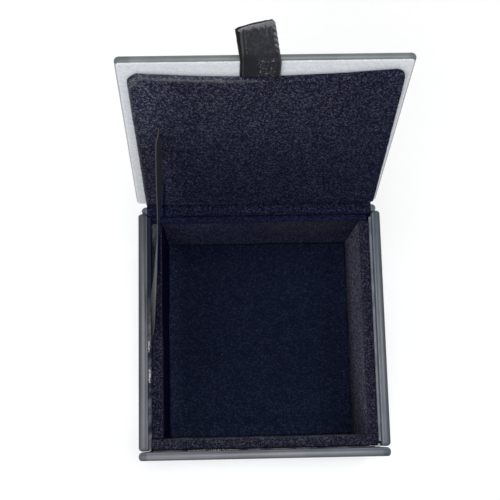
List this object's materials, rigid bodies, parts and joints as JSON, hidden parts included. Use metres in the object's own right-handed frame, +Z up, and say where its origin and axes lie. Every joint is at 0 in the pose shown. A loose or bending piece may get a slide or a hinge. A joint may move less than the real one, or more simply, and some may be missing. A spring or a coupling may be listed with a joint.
{
  "type": "trinket box",
  "caption": "Small mirrored glass trinket box with a velvet lining, a hinged lid, a ribbon pull tab and a ribbon lid stay.",
  "frame": {"origin": "middle of the underside, where the felt rests on a table", "axes": "+X to the right and +Y to the back, where the hinge is, with the box seen from the front; +Z up"},
  "size_m": [0.1018, 0.1368, 0.1761],
  "materials": {
    "mirrored_glass": "silvered glass with polished round edges",
    "velvet": "black velvet",
    "satin": "black satin ribbon",
    "card": "plain grey board",
    "felt": "black felt",
    "glue": "clear hardened glue"
  },
  "bodies": {
    "box": {"base_felt": "felt", "base_pane": "mirrored_glass", "front_pane": "mirrored_glass", "back_pane": "mirrored_glass", "left_pane": "mirrored_glass", "right_pane": "mirrored_glass", "glue_front_left": "glue", "glue_front_right": "glue", "glue_rear_left": "glue", "glue_rear_right": "glue", "front_liner_board": "card", "front_liner_velvet": "velvet", "back_liner_board": "card", "back_liner_velvet": "velvet", "left_liner_board": "card", "left_liner_velvet": "velvet", "right_liner_board": "card", "right_liner_velvet": "velvet", "floor_board": "card", "floor_velvet": "velvet", "hinge_velvet": "velvet", "stay_ribbon": "satin"},
    "lid": {"lid_pane": "mirrored_glass", "lid_pad_board": "card", "lid_pad_velvet": "velvet", "pull_tab": "satin"}
  },
  "joints": [
    {"name": "lid_hinge", "type": "hinge", "parent": "box", "child": "lid", "pos_m": [0, 0.052, 0.0582], "axis": [1, 0, 0], "range_deg": [0, 103], "deforming": ["hinge_velvet", "stay_ribbon"]}
  ]
}
